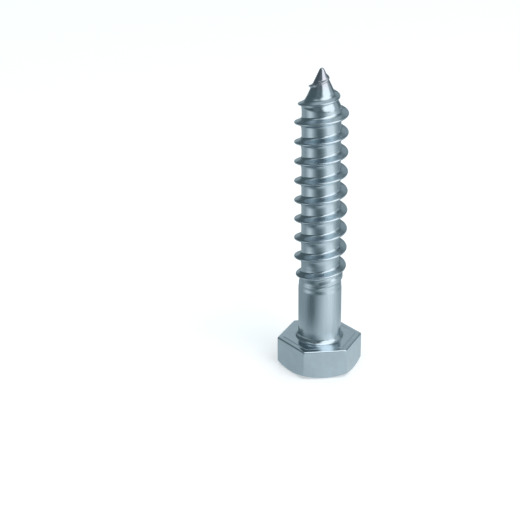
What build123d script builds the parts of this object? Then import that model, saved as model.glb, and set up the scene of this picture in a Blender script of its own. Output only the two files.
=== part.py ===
from build123d import *

import os
from math import cos, pi, radians, sin, sqrt, tan

# A hex head wood screw (lag screw, coach screw), millimetres.
# It stands on its head: z = 0 is the flat outer face of the head, +Z runs up the axis to the point.
# Everything below follows from the driving dimensions in the next block.

# Driving dimensions
across_flats = 13.9
head_height = 5.75
length_under_head = 51.2
shank_diameter = 8.0
thread_diameter = 9.65
core_diameter = 7.0
pitch = 25.4 / 7
plain_shank_length = 8.7
shank_taper_length = 2.2
shank_taper_drop = 0.17
shoulder_length = 0.9
point_angle = 50
point_nose_radius = 0.45
crest_point_angle = 58.5
thread_angle = 50
crest_width = 0.3
thin_crest_share = 0.4

# Head details
land_share = 0.95
head_chamfer_angle = 30
corner_radius = 0.25
bearing_edge_radius = 0.25
under_head_fillet = 0.45

# How the thread starts and ends, in turns and millimetres
thread_start_angle = -108
thread_start_pitches = 0.26
run_out_turns = 1.7
run_out_sink = 0.12
run_out_squeeze = 1.3
run_out_squeeze_turns = 0.9
point_start_turns = 2.0
point_sink = 0.1
point_squeeze = 0.95
point_squeeze_turns = 3.0
first_thread_from_tip = 0.78
ridge_bury = 0.12
least_ridge = 0.05
points_per_turn = 16

# Derived sizes
shank_radius = shank_diameter / 2
thread_radius = thread_diameter / 2
core_radius = core_diameter / 2
thread_depth = thread_radius - core_radius
flank_slope = tan(radians(thread_angle / 2))
cone_slope = tan(radians(point_angle / 2))
tip_z = head_height + length_under_head
shank_end_z = head_height + plain_shank_length
shoulder_z = shank_end_z + shank_taper_length
core_start_z = shoulder_z + shoulder_length
nose_centre_z = tip_z - point_nose_radius
cone_apex_z = nose_centre_z + point_nose_radius / sin(radians(point_angle / 2))
cone_start_z = cone_apex_z - core_radius / cone_slope
nose_tangent_z = nose_centre_z + point_nose_radius * sin(radians(point_angle / 2))
nose_tangent_radius = point_nose_radius * cos(radians(point_angle / 2))
fillet_radius = shank_radius + under_head_fillet
fillet_top_z = head_height + under_head_fillet

# The turned body's side from the under-head fillet to the nose, as (radius, height)
body_side = [
    (shank_radius, fillet_top_z),
    (shank_radius, shank_end_z),
    (shank_radius - shank_taper_drop, shoulder_z),
    (core_radius, core_start_z),
    (core_radius, cone_start_z),
    (nose_tangent_radius, nose_tangent_z),
]


def body_radius(z):
    """Radius of the screw's body, without its thread, at height z."""
    if z > nose_tangent_z:
        return sqrt(max(point_nose_radius**2 - (z - nose_centre_z) ** 2, 0))
    for (low_radius, low_z), (high_radius, high_z) in zip(body_side, body_side[1:]):
        if z <= high_z:
            share = max((z - low_z) / (high_z - low_z), 0)
            return low_radius + (high_radius - low_radius) * share
    return nose_tangent_radius


def eased(share):
    """A soft step from 0 to 1."""
    share = min(max(share, 0), 1)
    return share * share * (3 - 2 * share)


def hex_head():
    """Hexagonal head: rounded corners, chamfered outer end with a round flat land."""
    corner_reach = across_flats / sqrt(3)
    land_radius = land_share * across_flats / 2
    chamfer_rise = (corner_reach - land_radius) * tan(radians(head_chamfer_angle))
    outline = RegularPolygon(radius=corner_reach, side_count=6)
    outline = fillet(outline.vertices(), corner_radius)
    prism = extrude(outline, head_height)
    prism = fillet(prism.faces().sort_by(Axis.Z)[-1].edges(), bearing_edge_radius)
    turned = Polyline(
        (0, 0),
        (land_radius, 0),
        (corner_reach, chamfer_rise),
        (corner_reach, head_height),
        (0, head_height),
        close=True,
    )
    return prism & revolve(Plane.XZ * make_face(turned), Axis.Z)


def turned_shaft():
    """Under-head fillet, plain shank, taper, core and blunt nosed point, as one turned body."""
    foot_z = head_height / 2
    foot = Polyline((0, foot_z), (fillet_radius, foot_z), (fillet_radius, head_height))
    # A weight of sqrt(1/2) on the corner point makes the curve a true quarter circle.
    under_head = Bezier(
        (fillet_radius, head_height),
        (shank_radius, head_height),
        (shank_radius, fillet_top_z),
        weights=[1, sqrt(0.5), 1],
    )
    sides = Polyline(*body_side)
    nose_middle = radians((90 + point_angle / 2) / 2)
    nose = ThreePointArc(
        (nose_tangent_radius, nose_tangent_z),
        (point_nose_radius * cos(nose_middle), nose_centre_z + point_nose_radius * sin(nose_middle)),
        (0, tip_z),
    )
    centre_line = Line((0, tip_z), (0, foot_z))
    outline = make_face(Curve() + [foot, under_head, sides, nose, centre_line])
    return revolve(Plane.XZ * outline, Axis.Z)


def ridge_section(turn, turns, z):
    """The thread's section in its axial plane: foot and crest corners, lower side first."""
    run_out = 1 - (1 - min(turn / run_out_turns, 1)) ** 2
    run_in = min((turns - turn) / point_start_turns, 1)
    sunk = shank_radius - shank_taper_drop - run_out_sink
    climbing = sunk + (thread_radius - sunk) * run_out
    on_point = body_radius(z) - point_sink + (thread_depth + point_sink) * run_in
    crest_cone = (cone_apex_z - z) * tan(radians(crest_point_angle / 2))
    crest = min(climbing, on_point, crest_cone)
    height_share = (crest - body_radius(z)) / thread_depth
    crest_half = crest_width / 2 * min(max(height_share, thin_crest_share), 1)
    reach = crest_half + thread_depth * flank_slope
    foot = min(body_radius(z - reach), body_radius(z + reach)) - ridge_bury
    foot = max(foot, point_nose_radius / 2)
    foot = min(foot, crest - least_ridge)
    foot_half = crest_half + (crest - foot) * flank_slope
    return [
        (foot, z - foot_half),
        (crest, z - crest_half),
        (crest, z + crest_half),
        (foot, z + foot_half),
    ]


def curve_through(points, first, last):
    """A spline over one stretch of a rail, leaving both ends in the rail's own direction."""
    count = last - first
    before = points[max(first - 1, 0)]
    after = points[min(last + 1, len(points) - 1)]
    start_pull = points[first + 1] - before
    end_pull = after - points[last - 1]
    if first > 0:
        start_pull *= 0.5
    if last < len(points) - 1:
        end_pull *= 0.5
    return Edge.make_spline(
        points[first : last + 1],
        tangents=[start_pull * count, end_pull * count],
        parameters=[step / count for step in range(count + 1)],
        scale=False,
    )


def thread_ridge():
    """The raised right-hand thread as one solid, its foot sunk into the body below it.

    Its crest climbs out of the shank's shoulder, runs at full height and dies out on the point.
    The turns close up a little at both ends.
    """
    lowest_z = shank_end_z + pitch * thread_start_pitches
    highest_z = tip_z - first_thread_from_tip
    turns = (highest_z + point_squeeze - lowest_z) / pitch
    steps = int(round(turns * points_per_turn))

    rails = [[], [], [], []]
    for step in range(steps + 1):
        turn = turns * step / steps
        lift = run_out_squeeze * eased(1 - turn / run_out_squeeze_turns)
        drop = point_squeeze * eased(1 - (turns - turn) / point_squeeze_turns)
        z = lowest_z + pitch * turn + lift - drop
        angle = radians(thread_start_angle) + 2 * pi * turn
        for rail, (radius, height) in zip(rails, ridge_section(turn, turns, z)):
            rail.append(Vector(radius * cos(angle), radius * sin(angle), height))

    stretches = max(int(round(turns)), 1)
    cuts = [round(steps * i / stretches) for i in range(stretches + 1)]
    faces = []
    for first, last in zip(cuts, cuts[1:]):
        edges = [curve_through(rail, first, last) for rail in rails]
        faces += [Face.make_surface_from_curves(edges[i], edges[(i + 1) % 4]) for i in range(4)]
    for end in (0, -1):
        faces.append(Face(Wire.make_polygon([rail[end] for rail in rails], close=True)))
    return Solid(Shell(faces))


def lag_screw():
    """Head, shaft and thread joined into one piece."""
    return hex_head() + turned_shaft() + thread_ridge()


os.makedirs("parts", exist_ok=True)
screw = lag_screw()
export_step(screw, "parts/lag_screw.step")
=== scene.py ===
from math import ceil, cos, pi, radians, sin, sqrt, tan

import bmesh
import bpy
from mathutils import Matrix, Vector


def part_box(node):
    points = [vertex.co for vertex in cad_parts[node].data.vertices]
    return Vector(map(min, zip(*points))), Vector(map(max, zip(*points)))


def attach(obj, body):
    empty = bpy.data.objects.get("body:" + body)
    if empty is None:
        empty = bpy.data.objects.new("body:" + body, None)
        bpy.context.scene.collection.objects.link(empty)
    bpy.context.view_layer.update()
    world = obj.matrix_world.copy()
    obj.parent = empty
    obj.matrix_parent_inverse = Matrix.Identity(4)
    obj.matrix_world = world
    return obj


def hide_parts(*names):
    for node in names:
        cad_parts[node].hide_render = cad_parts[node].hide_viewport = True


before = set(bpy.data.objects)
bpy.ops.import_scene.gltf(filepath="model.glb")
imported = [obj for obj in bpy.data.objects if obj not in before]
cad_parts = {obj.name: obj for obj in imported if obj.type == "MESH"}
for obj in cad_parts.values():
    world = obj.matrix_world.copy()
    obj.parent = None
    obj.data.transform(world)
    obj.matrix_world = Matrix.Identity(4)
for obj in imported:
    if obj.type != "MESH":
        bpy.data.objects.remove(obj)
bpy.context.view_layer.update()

# A hex head wood screw that stands on its head, as one closed mesh, in a white studio.
# The screw's sizes are in millimetres. Places along its thread are in turns, from the thread's start.
MM = 0.001
NODE = "lag_screw"

# Sizes that are the same as in the part's source
ACROSS_FLATS = 13.9
HEAD_HEIGHT = 5.75
TIP_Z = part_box(NODE)[1][2] / MM
LAND_SHARE = 0.95
CHAMFER_SLOPE = tan(radians(30))
SHANK_RADIUS = 4.0
PLAIN_SHANK = 8.7
CORE_RADIUS = 3.5
POINT_HALF_ANGLE = radians(25)
NOSE_RADIUS = 0.45
THREAD_RADIUS = 4.825
PITCH = 25.4 / 7
FLANK_SLOPE = tan(radians(25))
CREST_WIDTH = 0.3
THREAD_START_ANGLE = -108
THREAD_START_PITCHES = 0.26
RUN_OUT_TURNS = 1.7
RUN_OUT_SQUEEZE_TURNS = 0.9
POINT_SINK = 0.1
POINT_SQUEEZE = 0.95
POINT_SQUEEZE_TURNS = 3.0
FIRST_THREAD_FROM_TIP = 0.78

# Head, fitted to the photograph: rounded edges, the band that droops round the bearing face, fillet
CORNER_RADIUS = 0.45
LEAST_CORNER_RADIUS = 0.02
EDGE_ROUNDING = 0.1
LAND_EDGE_LIFT = 0.012
BEARING_EDGE_WIDTH = 0.17
BEARING_EDGE_HEIGHT = 0.4
DROOP_WIDTH = 1.15
DROOP_DEPTH = 0.09
DROOP_STEP = 0.18
DROOP_STEP_DEPTH = 0.05
FLAT_MARGIN = 0.06
UNDER_HEAD_FILLET = 0.5
FILLET_RISE = 0.8
FILLET_FLATNESS = 0.45

# Body between shank and core, fitted. A drop is (distance past the plain shank, loss of radius).
TAPER_DROP = 0.2
SHANK_DROPS = ((1.3, 0), (1.8, 0.08), (2.35, 0.08), (2.8, TAPER_DROP), (3.9, 0.22))
SHOULDER_END = 4.5
SHOULDER_CLIMB = 0.9
SHOULDER_CLIMB_TURN = 0.28
SHOULDER_TURNS = 2
BODY_ROUNDING = 0.18

# Start of the thread, fitted: uneven, as rolling leaves it
START_SINK = 0.21
START_LIP = 0.15
START_LIP_RISE_TURNS = 0.03
START_LIP_TURNS = 0.55
START_RIM = 0.05
START_RIM_REACH = 0.32
START_SPREAD = 0.9
START_SPREAD_TURNS = 0.9
START_UNDER_SLOPE = tan(radians(50))
START_UNDER_TURNS = 0.5
START_CLIMB = 0.4
START_CLIMB_TURNS = 0.2
START_CLIMB_END_TURNS = 0.75
START_CLIMB_FALL_TURNS = 0.45
RUN_OUT_SQUEEZE = 1.4

# Section of the thread, fitted: crest, lower flank, the swell under each turn and the root radii
THIN_CREST_SHARE = 0.8
CREST_ROUNDING = 0.07
CREST_POINT_SLOPE = tan(radians(30.7))
POINT_START_TURNS = 0.9
UNDER_SLOPE = tan(radians(21))
UNDER_SWELL = 0.15
UNDER_SWELL_REACH = 0.95
UPPER_ROOT_REACH = 0.62
LOWER_ROOT_REACH = 0.35
LEAST_ROOT_REACH = 0.02
ROOT_FADE_TURNS = 0.4

# Derived sizes
LAND_RADIUS = LAND_SHARE * ACROSS_FLATS / 2
SHANK_END_Z = HEAD_HEIGHT + PLAIN_SHANK
NOSE_CENTRE_Z = TIP_Z - NOSE_RADIUS
NOSE_TANGENT_Z = NOSE_CENTRE_Z + NOSE_RADIUS * sin(POINT_HALF_ANGLE)
NOSE_TANGENT_RADIUS = NOSE_RADIUS * cos(POINT_HALF_ANGLE)
CONE_APEX_Z = NOSE_CENTRE_Z + NOSE_RADIUS / sin(POINT_HALF_ANGLE)
CONE_START_Z = CONE_APEX_Z - CORE_RADIUS / tan(POINT_HALF_ANGLE)
THREAD_DEPTH = THREAD_RADIUS - CORE_RADIUS
LOWEST_Z = SHANK_END_Z + PITCH * THREAD_START_PITCHES
TURNS = (TIP_Z - FIRST_THREAD_FROM_TIP + POINT_SQUEEZE - LOWEST_Z) / PITCH

# The body's side from the head to the nose, as (radius, height)
BODY_SIDE = [(SHANK_RADIUS, HEAD_HEIGHT)]
BODY_SIDE += [(SHANK_RADIUS - drop, SHANK_END_Z + past) for past, drop in SHANK_DROPS]
BODY_SIDE += [
    (CORE_RADIUS, SHANK_END_Z + SHOULDER_END),
    (CORE_RADIUS, CONE_START_Z),
    (NOSE_TANGENT_RADIUS, NOSE_TANGENT_Z),
]

# How finely the surface is divided: round the screw, on the head, up the shank and at the tip
COLUMNS = 120
CORNER_STEPS = 3
BEARING_EDGE_STEPS = 6
DROOP_SHARES = (0.5, 1)
DROOP_STEP_SHARES = (0.25, 0.5, 0.75, 1)
FILLET_STEPS = 10
SHANK_STEPS = 6
SHANK_TOP_MARGIN = 0.4
FILL_ROWS = 24
TIP_RING_DROP = 0.25
NOSE_STEPS = 4

# Samples across one pitch, as shares of half the crest, of the flank and of the root
CREST_SHARES = (0.5, 0.85)
FLANK_SHARES = (0, 0.06, 0.16, 0.35, 0.58, 0.78, 0.92)
ROOT_SHARES = (0, 0.08, 0.18, 0.32, 0.58)
MOST_RIDGE_SHARE = 0.7
LEAST_RIDGE = 0.05

# How far the band climbs in each turn past the thread's start and past its end
START_LEAD = 1.2
TIP_LEAD = 0.4

# Over 50, the larger faces count for more in the shading
LARGE_FACE_WEIGHT = 80


def eased(share):
    """A soft step from 0 to 1."""
    share = min(max(share, 0), 1)
    return share * share * (3 - 2 * share)


def soft_ramp(value, width):
    """0 below zero and the value above it, with a rounded corner of the given width."""
    return (value + sqrt(value * value + width * width)) / 2


def body_radius(z):
    """Radius of the screw's body, without its thread, at height z."""
    if z > NOSE_TANGENT_Z:
        return sqrt(max(NOSE_RADIUS**2 - (z - NOSE_CENTRE_Z) ** 2, 0))
    for (low_radius, low_z), (high_radius, high_z) in zip(BODY_SIDE, BODY_SIDE[1:]):
        if z <= high_z:
            share = max((z - low_z) / (high_z - low_z), 0)
            return low_radius + (high_radius - low_radius) * share
    return NOSE_TANGENT_RADIUS


def soft_body_radius(z):
    """The same with its corners rounded, and the nose left as it is."""
    reach = min(BODY_ROUNDING, max(NOSE_TANGENT_Z - z, 0))
    return (body_radius(z - reach) + 2 * body_radius(z) + body_radius(z + reach)) / 4


def climbed_shoulder_radius(turn, z):
    """Radius of the shoulder, which lies higher on one side, and no thicker than the taper."""
    climb = SHOULDER_CLIMB * eased(1 - abs(turn % 1 / SHOULDER_CLIMB_TURN - 1))
    return min(soft_body_radius(z - climb), SHANK_RADIUS - TAPER_DROP)


def ridge_centre(turn):
    """Height of the thread's middle after so many turns, carried on past both of its ends."""
    inside = min(max(turn, 0), TURNS)
    lift = RUN_OUT_SQUEEZE * eased(1 - inside / RUN_OUT_SQUEEZE_TURNS)
    rise = inside / START_CLIMB_TURNS
    fall = (START_CLIMB_END_TURNS - inside) / START_CLIMB_FALL_TURNS
    lift += START_CLIMB * eased(min(rise, fall))
    drop = POINT_SQUEEZE * eased(1 - (TURNS - inside) / POINT_SQUEEZE_TURNS)
    past = turn - inside
    return LOWEST_Z + PITCH * inside + lift - drop + past * (START_LEAD if past < 0 else TIP_LEAD)


def crest_at(turn):
    """Radius of the thread's crest and half the crest's width after so many turns."""
    z = ridge_centre(turn)
    body = body_radius(z)
    run_out = 1 - (1 - min(max(turn, 0) / RUN_OUT_TURNS, 1)) ** 2
    run_in = min((TURNS - turn) / POINT_START_TURNS, 1)
    sunk = SHANK_RADIUS - START_SINK
    climbing = sunk + (THREAD_RADIUS - sunk) * run_out
    climbing += START_LIP * eased(turn / START_LIP_RISE_TURNS) * (1 - eased(turn / START_LIP_TURNS))
    on_point = body - POINT_SINK + (THREAD_DEPTH + POINT_SINK) * run_in
    crest = min(climbing, on_point, (CONE_APEX_Z - z) * CREST_POINT_SLOPE)
    height_share = (crest - body) / THREAD_DEPTH
    return crest, CREST_WIDTH / 2 * min(max(height_share, THIN_CREST_SHARE), 1)


def surface_radius(turn, z):
    """Radius of the finished surface at height z, beside the thread's given turn."""
    crest, crest_half = crest_at(turn)
    centre = ridge_centre(turn)
    started = eased(turn / START_UNDER_TURNS)
    body = soft_body_radius(z)
    if turn < SHOULDER_TURNS:
        body = max(body, climbed_shoulder_radius(turn, z))
    share = min(max((crest - body) / THREAD_DEPTH, 0), 1)
    away = abs(z - centre) - crest_half
    slope = FLANK_SLOPE
    root_reach = UPPER_ROOT_REACH
    rim = 0
    if z > centre:
        away -= START_SPREAD * (1 - eased(turn / START_SPREAD_TURNS))
        past_rim = min((z - centre) / START_RIM_REACH, 1)
        rim = START_RIM * (1 - (1 - past_rim) ** 2) * (1 - started)
    if z < centre:
        slope = START_UNDER_SLOPE + (UNDER_SLOPE - START_UNDER_SLOPE) * started
        root_reach = LOWER_ROOT_REACH
        past_foot = max(away - share * THREAD_DEPTH * slope, 0)
        body += UNDER_SWELL * share * max(1 - past_foot / UNDER_SWELL_REACH, 0) ** 2
    ridge = crest - soft_ramp(away, CREST_ROUNDING) / slope - rim
    fading = min(eased(turn / ROOT_FADE_TURNS), eased((TURNS - turn) / ROOT_FADE_TURNS))
    reach = LEAST_ROOT_REACH + root_reach * share * fading
    overlap = max(reach - abs(ridge - body), 0)
    return max(ridge, body) + overlap * overlap / (4 * reach)


def band_heights(turn):
    """Heights of the samples across one pitch, packed where the section turns."""
    centre = ridge_centre(turn)
    crest, crest_half = crest_at(turn)
    flank = max(crest - body_radius(centre), LEAST_RIDGE) * FLANK_SLOPE
    sides = []
    for side in (-1, 1):
        edge = abs(ridge_centre(turn + side) - centre) / 2
        fit = min(MOST_RIDGE_SHARE * edge / (crest_half + flank), 1)
        stops = (0, fit * crest_half, fit * (crest_half + flank), edge)
        away = [edge]
        for low, high, shares in zip(stops, stops[1:], (CREST_SHARES, FLANK_SHARES, ROOT_SHARES)):
            away += [low + (high - low) * share for share in shares]
        sides.append([centre + side * distance for distance in sorted(away)])
    return sides[0][::-1] + [centre] + sides[1]


def on_column(column, radius, z):
    """A place at the given radius and height, so many columns round from the thread's start."""
    angle = radians(THREAD_START_ANGLE) + 2 * pi * column / COLUMNS
    return (radius * cos(angle), radius * sin(angle), z)


class Skin:
    """Collects the vertices and faces of one closed surface."""

    def __init__(self):
        self.points = []
        self.faces = []

    def point(self, place):
        self.points.append(place)
        return len(self.points) - 1

    def ring(self, places):
        return [self.point(place) for place in places]

    def circle(self, radius, z, first=0):
        return self.ring([on_column(first + i, radius, z) for i in range(COLUMNS)])

    def join_rings(self, rings):
        """Quads between each closed ring and the next one up."""
        for low, high in zip(rings, rings[1:]):
            for i in range(len(low)):
                j = (i + 1) % len(low)
                self.faces.append((low[i], low[j], high[j], high[i]))

    def join_columns(self, columns):
        """Quads between each upward column and the next one round."""
        for left, right in zip(columns, columns[1:]):
            for k in range(len(left) - 1):
                self.faces.append((left[k], right[k], right[k + 1], left[k + 1]))

    def join_chains(self, left, right):
        """Triangles between two upward chains of vertices that needn't have as many."""
        i = j = 0
        while i < len(left) - 1 or j < len(right) - 1:
            if j == len(right) - 1:
                step_left = True
            elif i == len(left) - 1:
                step_left = False
            else:
                step_left = self.points[left[i + 1]][2] < self.points[right[j + 1]][2]
            if step_left:
                self.faces.append((left[i], right[j], left[i + 1]))
                i += 1
            else:
                self.faces.append((left[i], right[j], right[j + 1]))
                j += 1

    def close_ring(self, ring, pole):
        for i in range(len(ring)):
            self.faces.append((ring[i], ring[(i + 1) % len(ring)], pole))


def hexagon(inset):
    """Points of the head's outline, moved inwards by inset, from the thread's first column round."""
    corner_radius = max(CORNER_RADIUS - inset, LEAST_CORNER_RADIUS)
    centre_reach = (ACROSS_FLATS / 2 - inset - corner_radius) / cos(radians(30))
    side = []
    for step in range(-CORNER_STEPS, CORNER_STEPS + 1):
        angle = radians(30 * step / CORNER_STEPS)
        side.append(Vector((centre_reach + corner_radius * cos(angle), corner_radius * sin(angle))))
    first = side[-1]
    last = Matrix.Rotation(radians(60), 2) @ side[0]
    gaps = COLUMNS // 6 - len(side) + 1
    side += [first.lerp(last, step / gaps) for step in range(1, gaps)]
    points = []
    for k in range(6):
        turned = Matrix.Rotation(radians(60 * k), 2)
        points += [turned @ point for point in side]
    shift = round(THREAD_START_ANGLE / 360 * COLUMNS) + CORNER_STEPS
    return [points[(i + shift) % COLUMNS] for i in range(COLUMNS)]


def add_head(skin):
    """The head from the middle of its flat land up to the ring where the shank's fillet starts."""

    def level(inset, z):
        return skin.ring([(point.x, point.y, z) for point in hexagon(inset)])

    pole = skin.point((0, 0, 0))
    land = skin.circle(LAND_RADIUS - EDGE_ROUNDING, 0)
    skin.close_ring(land, pole)
    rings = [land, skin.circle(LAND_RADIUS, LAND_EDGE_LIFT)]
    rings.append(skin.circle(LAND_RADIUS + EDGE_ROUNDING, EDGE_ROUNDING * CHAMFER_SLOPE))

    # The curved edge between the chamfer's cone and the flats, in three rings
    curved = []
    for point in hexagon(0):
        inner = point.normalized() * (point.length - EDGE_ROUNDING)
        corner_z = (point.length - LAND_RADIUS) * CHAMFER_SLOPE
        low = Vector((inner.x, inner.y, corner_z - EDGE_ROUNDING * CHAMFER_SLOPE))
        corner = Vector((point.x, point.y, corner_z))
        high = Vector((point.x, point.y, corner_z + EDGE_ROUNDING))
        curved.append((low, (low + 2 * corner + high) / 4, high))
    rings += [skin.ring(places) for places in zip(*curved)]

    edge_z = HEAD_HEIGHT - BEARING_EDGE_HEIGHT
    rings.append(level(0, edge_z))
    for step in range(1, BEARING_EDGE_STEPS + 1):
        angle = radians(90 * step / BEARING_EDGE_STEPS)
        z = edge_z + (BEARING_EDGE_HEIGHT - DROOP_DEPTH) * sin(angle)
        rings.append(level(BEARING_EDGE_WIDTH * (1 - cos(angle)), z))

    slope_end = DROOP_WIDTH - DROOP_STEP
    for share in DROOP_SHARES:
        inset = BEARING_EDGE_WIDTH + (slope_end - BEARING_EDGE_WIDTH) * share
        depth = DROOP_DEPTH - (DROOP_DEPTH - DROOP_STEP_DEPTH) * share
        rings.append(level(inset, HEAD_HEIGHT - depth))
    for share in DROOP_STEP_SHARES:
        depth = DROOP_STEP_DEPTH * (1 - eased(share))
        rings.append(level(slope_end + DROOP_STEP * share, HEAD_HEIGHT - depth))

    rings.append(level(DROOP_WIDTH + FLAT_MARGIN, HEAD_HEIGHT))
    for margin in (FLAT_MARGIN, 0):
        rings.append(skin.circle(SHANK_RADIUS + UNDER_HEAD_FILLET + margin, HEAD_HEIGHT))
    skin.join_rings(rings)
    return rings[-1]


def add_shank(skin, foot):
    """Under-head fillet and plain shank, up to the ring where the thread's part starts."""
    rings = [foot]
    for step in range(1, FILLET_STEPS + 1):
        share = step / FILLET_STEPS
        angle = radians(90 * share)
        inward = sin(angle) + (share - sin(angle)) * FILLET_FLATNESS
        upward = 1 - cos(angle) + (share - 1 + cos(angle)) * FILLET_FLATNESS
        radius = SHANK_RADIUS + UNDER_HEAD_FILLET * (1 - inward)
        rings.append(skin.circle(radius, HEAD_HEIGHT + FILLET_RISE * upward))
    fillet_top_z = HEAD_HEIGHT + FILLET_RISE
    for step in range(1, SHANK_STEPS + 1):
        z = fillet_top_z + (SHANK_END_Z - SHANK_TOP_MARGIN - fillet_top_z) * step / SHANK_STEPS
        rings.append(skin.circle(soft_body_radius(z), z))
    skin.join_rings(rings)
    return rings[-1]


def add_thread(skin, foot):
    """The threaded length as one band wound up the screw, closed by the nose at its end."""

    def column(i, turn, heights):
        return [skin.point(on_column(i, surface_radius(turn, z), z)) for z in heights]

    def fill(i, low_z, high_z, rows):
        """The lowest rows of the even division of column i between two heights."""
        heights = [low_z + (high_z - low_z) * row / FILL_ROWS for row in range(1, rows + 1)]
        return column(i, min(i / COLUMNS, TURNS), heights)

    # The band. The upper edge of each turn is the lower edge of the turn above it.
    last = ceil(TURNS * COLUMNS)
    band = []
    for i in range(last + 1):
        heights = band_heights(i / COLUMNS)
        if i + COLUMNS <= last:
            heights.pop()
        band.append(column(i, i / COLUMNS, heights))
    for i in range(last + 1 - COLUMNS):
        band[i].append(band[i + COLUMNS][0])
    skin.join_columns(band)

    # Below the band's first turn, down to the shank
    foot_z = skin.points[foot[0]][2]
    lower = []
    for i in range(COLUMNS):
        top = band[i][0]
        lower.append([foot[i]] + fill(i, foot_z, skin.points[top][2], FILL_ROWS - 1) + [top])
    skin.join_columns(lower)
    skin.join_chains(lower[-1], lower[0] + band[0][1:])

    # Above the band's last turn, up to the nose
    ring_z = TIP_Z - TIP_RING_DROP
    first = last - COLUMNS + 1
    upper = []
    for i in range(first, last + 1):
        bottom = band[i][-1]
        upper.append([bottom] + fill(i, skin.points[bottom][2], ring_z, FILL_ROWS))
    skin.join_columns(upper)
    skin.join_chains(band[last][:-1] + upper[-1], upper[0])

    rings = [[chain[-1] for chain in upper]]
    for step in range(1, NOSE_STEPS):
        z = ring_z + (TIP_Z - ring_z) * sin(radians(90 * step / NOSE_STEPS))
        rings.append(skin.circle(body_radius(z), z, first))
    skin.join_rings(rings)
    skin.close_ring(rings[-1], skin.point((0, 0, TIP_Z)))


def add(name, data):
    """A new object in the scene, made from its data."""
    piece = bpy.data.objects.new(name, data)
    bpy.context.scene.collection.objects.link(piece)
    return piece


def make_screw():
    """The whole screw as one smooth shaded mesh."""
    skin = Skin()
    add_thread(skin, add_shank(skin, add_head(skin)))
    mesh = bpy.data.meshes.new("screw_body")
    mesh.from_pydata([tuple(c * MM for c in place) for place in skin.points], [], skin.faces)
    shape = bmesh.new()
    shape.from_mesh(mesh)
    bmesh.ops.recalc_face_normals(shape, faces=shape.faces)
    shape.to_mesh(mesh)
    shape.free()
    mesh.polygons.foreach_set("use_smooth", [True] * len(mesh.polygons))
    screw = add("screw_body", mesh)
    weighted = screw.modifiers.new("weighted_normals", "WEIGHTED_NORMAL")
    weighted.mode = "FACE_AREA"
    weighted.weight = LARGE_FACE_WEIGHT
    return screw


# Camera: the photograph's viewing angle, matched to the screw's outline in the picture
IMAGE_SIDE = 520
SENSOR_MM = 36
FOCAL_PX = 1247.34
CAMERA_RIGHT = Vector((0.995128, -0.098073, -0.010068))
CAMERA_DOWN = Vector((-0.047250, -0.384812, -0.921785))
CAMERA_PLACE_MM = Vector((-30.822, -209.168, 109.862))
CAMERA_CLIP_M = (0.005, 20)


def make_camera():
    """The camera, turned by the directions that lie right and down in the picture."""
    right = CAMERA_RIGHT.normalized()
    up = -(CAMERA_DOWN - right * CAMERA_DOWN.dot(right)).normalized()
    back = right.cross(up)
    camera = add("camera", bpy.data.cameras.new("camera"))
    camera.data.sensor_width = SENSOR_MM
    camera.data.lens = SENSOR_MM * FOCAL_PX / IMAGE_SIDE
    camera.data.clip_start, camera.data.clip_end = CAMERA_CLIP_M
    turned = Matrix((right, up, back)).transposed().to_4x4()
    camera.matrix_world = Matrix.Translation(CAMERA_PLACE_MM * MM) @ turned
    bpy.context.scene.camera = camera


# The studio's greys get bluer the darker they are: red, green and blue are share * level ** power
GREY_SHARES = (0.9, 0.97, 1)
GREY_POWERS = (1.16, 1.04, 1)


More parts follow.
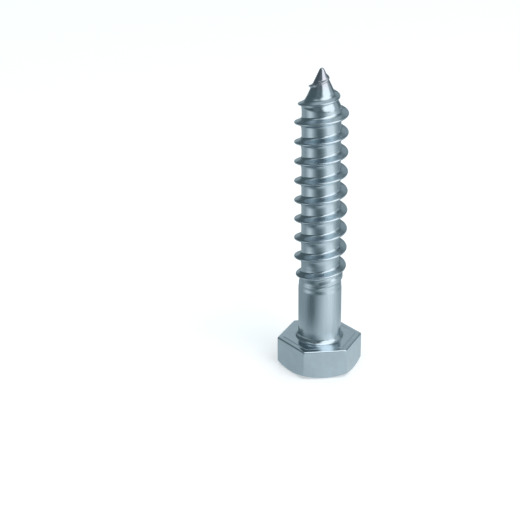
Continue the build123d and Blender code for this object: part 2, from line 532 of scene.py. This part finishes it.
class Wiring:
    """Short calls for building one node tree; a value is either a number or another node's socket."""

    def __init__(self, tree):
        self.tree = tree

    def node(self, kind, **values):
        made = self.tree.nodes.new("ShaderNode" + kind)
        for name, value in values.items():
            setattr(made, name, value)
        return made

    def feed(self, socket, value):
        if isinstance(value, bpy.types.NodeSocket):
            self.tree.links.new(value, socket)
        else:
            socket.default_value = value

    def math(self, operation, *values):
        made = self.node("Math", operation=operation)
        for socket, value in zip(made.inputs, values):
            self.feed(socket, value)
        return made.outputs[0]

    def plus(self, value, other):
        return self.math("ADD", value, other)

    def times(self, value, factor):
        return self.math("MULTIPLY", value, factor)

    def vector_math(self, operation, *values):
        made = self.node("VectorMath", operation=operation)
        for socket, value in zip(made.inputs, values):
            if value is not None:
                self.feed(socket, value)
        scalar = operation in ("DOT_PRODUCT", "LENGTH")
        return made.outputs["Value" if scalar else "Vector"]

    def split(self, vector):
        made = self.node("SeparateXYZ")
        self.feed(made.inputs[0], vector)
        return made.outputs

    def join(self, x, y, z):
        made = self.node("CombineXYZ")
        for socket, value in zip(made.inputs, (x, y, z)):
            self.feed(socket, value)
        return made.outputs[0]

    def step(self, value, low, high, low_result=0.0, high_result=1.0):
        """A soft step from one result to another while the value goes from low to high."""
        made = self.node("MapRange", interpolation_type="SMOOTHSTEP")
        limits = {"From Min": low, "From Max": high, "To Min": low_result, "To Max": high_result}
        for name, number in limits.items():
            made.inputs[name].default_value = number
        self.feed(made.inputs["Value"], value)
        return made.outputs[0]

    def mix(self, share, low, high):
        made = self.node("Mix", data_type="FLOAT")
        for socket, value in zip(made.inputs, (share, None, low, high)):
            if value is not None:
                self.feed(socket, value)
        return made.outputs[0]

    def mix_color(self, share, low, high, blend="MIX"):
        """A mix of two colours. Inputs 6 and 7 and output 2 are the Mix node's colour sockets."""
        made = self.node("Mix", data_type="RGBA", blend_type=blend)
        self.feed(made.inputs[0], share)
        self.feed(made.inputs[6], low)
        self.feed(made.inputs[7], high)
        return made.outputs[2]

    def mix_shaders(self, share, low, high):
        made = self.node("MixShader")
        for socket, value in zip(made.inputs, (share, low, high)):
            self.feed(socket, value)
        return made.outputs[0]

    def neutral(self, level):
        """A grey whose red, green and blue are equal."""
        made = self.node("CombineColor")
        for socket in made.inputs:
            self.feed(socket, level)
        return made.outputs[0]

    def grey(self, level):
        """One of the studio's bluish greys."""
        made = self.node("CombineColor")
        for socket, share, power in zip(made.inputs, GREY_SHARES, GREY_POWERS):
            self.feed(socket, self.times(self.math("POWER", level, power), share))
        return made.outputs[0]

    def noise(self, vector, scale, detail, roughness):
        made = self.node("TexNoise")
        self.feed(made.inputs["Vector"], vector)
        made.inputs["Scale"].default_value = scale
        made.inputs["Detail"].default_value = detail
        made.inputs["Roughness"].default_value = roughness
        return made.outputs["Fac"]


def new_material(name):
    """A new material with its wiring and its shader."""
    material = bpy.data.materials.new(name)
    material.use_nodes = True
    return material, Wiring(material.node_tree), material.node_tree.nodes["Principled BSDF"]


# Zinc plating. Each noise has a scale per millimetre, a detail and a roughness.
ROLLED_NOISE = (1.6, 4.0, 0.62)
ROLLED_AROUND = 2.2
ROLLED_BY_RADIUS = 3.0
ROLLED_BY_HEIGHT = 0.35
DRAWN_NOISE = (1.5, 3.0, 0.6)
DRAWN_AROUND = 9.0
DRAWN_BY_HEIGHT = 0.12
MOTTLED_NOISE = (0.55, 4.0, 0.55)
FINE_NOISE = (5.0, 3.0, 0.6)

# Where each finish starts and is complete, as heights or radii in millimetres
DRAWN_FROM = (HEAD_HEIGHT + 0.2, HEAD_HEIGHT + 1.0)
ROLLED_FROM = (SHANK_END_Z + 1.0, SHANK_END_Z + 2.6)
TIP_FROM = (TIP_Z - 4.0, TIP_Z - 2.2)
HEAD_FROM = (SHANK_RADIUS + UNDER_HEAD_FILLET, SHANK_RADIUS + UNDER_HEAD_FILLET + 0.2)
BEARING_FROM = (HEAD_HEIGHT - 0.2, HEAD_HEIGHT - 0.1)
CREST_FROM = (THREAD_RADIUS - 0.22, THREAD_RADIUS - 0.04)

# Its colours and how rough it is. A step's four numbers are its range and its two results.
WARM_MOTTLE = (0.665, 0.745, 0.795, 1)
BLUE_MOTTLE = (0.66, 0.75, 0.81, 1)
MOTTLE_RANGE = (0.38, 0.62)
TIP_TINT = (0.63, 0.63, 0.685, 1)
STREAK_SHADE = (0.3, 0.7, 0.97, 1.03)
STREAK_ROUGHNESS = (0.3, 0.72, 0.17, 0.23)
MOTTLE_ROUGHNESS = 0.05
BEARING_ROUGHNESS = 0.06
CREST_ROUGHNESS = 0.15
FINE_SHARE = 0.3
BUMP_STRENGTH = 0.16
BUMP_DISTANCE = 0.012 * MM


def zinc():
    """Bright zinc plating over rolled and forged steel, a little bluish.

    Streaks run along the thread where it is rolled and up the shank where the wire was drawn, and
    the forged head is faintly mottled. The crest is rubbed smoother than the rest, and the tip is a
    little darker and warmer.
    """
    material, wiring, shader = new_material("zinc_plated_steel")
    object_place = wiring.node("TexCoord").outputs["Object"]
    place = wiring.vector_math("SCALE", object_place, None, None, 1 / MM)
    x, y, z = wiring.split(place)
    around = wiring.math("ARCTAN2", y, x)
    radius = wiring.vector_math("LENGTH", wiring.join(x, y, 0.0))

    def streak_noise(angle, fineness, along, noise):
        """Noise that is long in one direction and has no seam round the screw."""
        ring_x = wiring.times(wiring.math("COSINE", angle), fineness)
        ring_y = wiring.times(wiring.math("SINE", angle), fineness)
        return wiring.noise(wiring.join(ring_x, ring_y, along), *noise)

    along_thread = wiring.math("SUBTRACT", around, wiring.times(z, 2 * pi / PITCH))
    drift = wiring.plus(wiring.times(radius, ROLLED_BY_RADIUS), wiring.times(z, ROLLED_BY_HEIGHT))
    rolled = streak_noise(along_thread, ROLLED_AROUND, drift, ROLLED_NOISE)
    drawn = streak_noise(around, DRAWN_AROUND, wiring.times(z, DRAWN_BY_HEIGHT), DRAWN_NOISE)
    mottled = wiring.noise(place, *MOTTLED_NOISE)
    fine = wiring.noise(place, *FINE_NOISE)

    on_shank = wiring.step(z, *DRAWN_FROM)
    on_thread = wiring.step(z, *ROLLED_FROM)
    on_tip = wiring.step(z, *TIP_FROM)
    on_crest = wiring.step(radius, *CREST_FROM)
    on_bearing = wiring.times(wiring.step(radius, *HEAD_FROM), wiring.step(z, *BEARING_FROM))
    streaks = wiring.mix(on_thread, wiring.mix(on_shank, mottled, drawn), rolled)

    tint = wiring.mix_color(wiring.step(mottled, *MOTTLE_RANGE), WARM_MOTTLE, BLUE_MOTTLE)
    tint = wiring.mix_color(on_tip, tint, TIP_TINT)
    shade = wiring.neutral(wiring.step(streaks, *STREAK_SHADE))
    wiring.feed(shader.inputs["Base Color"], wiring.mix_color(1.0, tint, shade, "MULTIPLY"))
    shader.inputs["Metallic"].default_value = 1

    satin = wiring.step(streaks, *STREAK_ROUGHNESS)
    satin = wiring.plus(satin, wiring.times(mottled, MOTTLE_ROUGHNESS))
    satin = wiring.plus(satin, wiring.times(on_bearing, BEARING_ROUGHNESS))
    wiring.feed(shader.inputs["Roughness"], wiring.mix(on_crest, satin, CREST_ROUGHNESS))

    bump = wiring.node("Bump")
    bump.inputs["Strength"].default_value = BUMP_STRENGTH
    bump.inputs["Distance"].default_value = BUMP_DISTANCE
    wiring.feed(bump.inputs["Height"], wiring.plus(streaks, wiring.times(fine, FINE_SHARE)))
    wiring.feed(shader.inputs["Normal"], bump.outputs["Normal"])
    return material


# Studio. Azimuths are in degrees from the studio's front, positive to the right of it.
STUDIO_FRONT = -98.4

# Floor, in metres. Its level in a reflection goes from one zone to the next over these distances.
FLOOR_REACH = 2
FLOOR_GREY = 0.8
FLOOR_ROUGHNESS = 0.9
FLOOR_GLOW = 0.34
BESIDE_TO_NEAR = (17 * MM, 27 * MM)
NEAR_TO_FAR = (35 * MM, 70 * MM)

# How bright the floor looks in a reflection, by azimuth: beside the screw, near it and further off
BESIDE_LEVELS = (
    (-180, 0.56), (-90, 0.5), (-50, 0.46), (-20, 0.56), (10, 0.67), (60, 0.7), (137, 0.64), (180, 0.56),
)
NEAR_LEVELS = (
    (-180, 0.36), (-112, 0.36), (-80, 0.38), (-58, 0.17), (-34, 0.11), (-14, 0.36), (10, 0.64),
    (30, 0.82), (58, 0.94), (80, 0.74), (112, 0.52), (180, 0.34),
)
FAR_LEVELS = (
    (-180, 0.22), (-160, 0.42), (-120, 0.44), (-96, 0.26), (-66, 1.02), (-48, 0.48), (-28, 0.2),
    (-14, 0.13), (0, 0.16), (16, 0.31), (34, 0.8), (54, 1.52), (70, 1.22), (85, 0.62), (104, 0.44),
    (124, 0.27), (150, 0.36), (180, 0.27),
)


def studio_direction(azimuth, elevation):
    """Unit vector towards a place in the studio, from degrees."""
    around = radians(STUDIO_FRONT + azimuth)
    up = radians(elevation)
    return (cos(up) * cos(around), cos(up) * sin(around), sin(up))


def by_azimuth(wiring, azimuth_share, levels):
    """A grey level by azimuth, smooth between the given levels."""
    made = wiring.node("ValToRGB")
    made.color_ramp.interpolation = "B_SPLINE"
    stops = made.color_ramp.elements
    while len(stops) < len(levels):
        stops.new(1)
    for stop, (azimuth, level) in zip(stops, levels):
        stop.position = (azimuth + 180) / 360
        stop.color = (level, level, level, 1)
    wiring.feed(made.inputs[0], azimuth_share)
    return made.outputs[0]


def make_stage():
    """A floor that is white to the camera and shows the studio's levels in reflections."""
    signs = ((-1, -1), (1, -1), (1, 1), (-1, 1))
    corners = [(x * FLOOR_REACH, y * FLOOR_REACH, 0) for x, y in signs]
    mesh = bpy.data.meshes.new("floor")
    mesh.from_pydata(corners, [], [(0, 1, 2, 3)])
    floor = add("floor", mesh)
    material, wiring, shader = new_material("floor")
    shader.inputs["Base Color"].default_value = (FLOOR_GREY, FLOOR_GREY, FLOOR_GREY, 1)
    shader.inputs["Roughness"].default_value = FLOOR_ROUGHNESS

    place = wiring.node("NewGeometry").outputs["Position"]
    forward = wiring.vector_math("DOT_PRODUCT", place, studio_direction(0, 0))
    sideways = wiring.vector_math("DOT_PRODUCT", place, studio_direction(90, 0))
    angle = wiring.math("ARCTAN2", sideways, forward)
    azimuth_share = wiring.plus(wiring.math("DIVIDE", angle, 2 * pi), 0.5)
    zones = (BESIDE_LEVELS, NEAR_LEVELS, FAR_LEVELS)
    beside, near, far = [by_azimuth(wiring, azimuth_share, levels) for levels in zones]
    distance = wiring.vector_math("LENGTH", place)
    level = wiring.mix(wiring.step(distance, *NEAR_TO_FAR), near, far)
    level = wiring.mix(wiring.step(distance, *BESIDE_TO_NEAR), beside, level)

    reflected = wiring.node("Emission")
    wiring.feed(reflected.inputs["Color"], wiring.grey(level))
    glow = wiring.node("Emission")
    glow.inputs["Color"].default_value = (1, 1, 1, 1)
    glow.inputs["Strength"].default_value = FLOOR_GLOW
    seen = wiring.node("AddShader")
    wiring.feed(seen.inputs[0], shader.outputs[0])
    wiring.feed(seen.inputs[1], glow.outputs[0])
    rays = wiring.node("LightPath").outputs
    finish = wiring.mix_shaders(rays["Is Camera Ray"], shader.outputs[0], seen.outputs[0])
    finish = wiring.mix_shaders(rays["Is Glossy Ray"], finish, reflected.outputs[0])
    wiring.feed(wiring.tree.nodes["Material Output"].inputs["Surface"], finish)
    mesh.materials.append(material)


# Room in reflections: plain level and soft boxes (azimuth, elevation, inner, outer radius, strength)
ROOM_LEVEL = 0.12
ROOM_LOBES = (
    (34, 27, 18, 26, 1.2),
    (62, 22, 18, 28, 1.2),
    (46, 63, 18, 38, 1.25),
    (100, 18, 10, 34, 0.34),
    (180, 23, 5, 22, 0.37),
    (180, 60, 10, 27, 0.5),
    (156, 24, 10, 26, 0.24),
    (-30, 22, 6, 24, 0.08),
    (-167, 6, 4, 15, 0.34),
    (-70, 58, 4, 18, 0.5),
)

# Diffuse light: the room's plain level and the key lamp, in degrees, metres and watts
PLAIN_LEVEL = 0.8
KEY_AZIMUTH = 46
KEY_ELEVATION = 52
KEY_DISTANCE = 0.7
KEY_SIZE = 0.45
KEY_WATTS = 1.6


def make_lights():
    """The room, which is near white to the camera, and the key lamp, which no reflection shows."""
    world = bpy.data.worlds.new("studio")
    bpy.context.scene.world = world
    world.use_nodes = True
    wiring = Wiring(world.node_tree)
    background = world.node_tree.nodes["Background"]
    direction = wiring.node("TexCoord").outputs["Generated"]
    level = 0.0
    for azimuth, elevation, inner, outer, strength in ROOM_LOBES:
        towards = wiring.vector_math("DOT_PRODUCT", direction, studio_direction(azimuth, elevation))
        lobe = wiring.step(towards, cos(radians(outer)), cos(radians(inner)), 0, strength)
        level = wiring.math("MAXIMUM", level, lobe)
    level = wiring.plus(level, ROOM_LEVEL)
    rays = wiring.node("LightPath").outputs
    level = wiring.mix(rays["Is Glossy Ray"], PLAIN_LEVEL, level)
    level = wiring.mix(rays["Is Camera Ray"], level, 1.0)
    wiring.feed(background.inputs["Color"], wiring.grey(level))

    key = bpy.data.lights.new("key", "AREA")
    key.shape = "DISK"
    key.size = KEY_SIZE
    key.energy = KEY_WATTS
    lamp = add("key", key)
    key_direction = Vector(studio_direction(KEY_AZIMUTH, KEY_ELEVATION))
    lamp.location = key_direction * KEY_DISTANCE
    lamp.rotation_euler = key_direction.to_track_quat("Z", "Y").to_euler()
    lamp.visible_glossy = False


make_camera()
make_stage()
make_lights()
bpy.context.scene.view_settings.view_transform = "Standard"
metal = zinc()
screw = make_screw()
screw.data.materials.append(metal)
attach(screw, "root")
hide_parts(NODE)
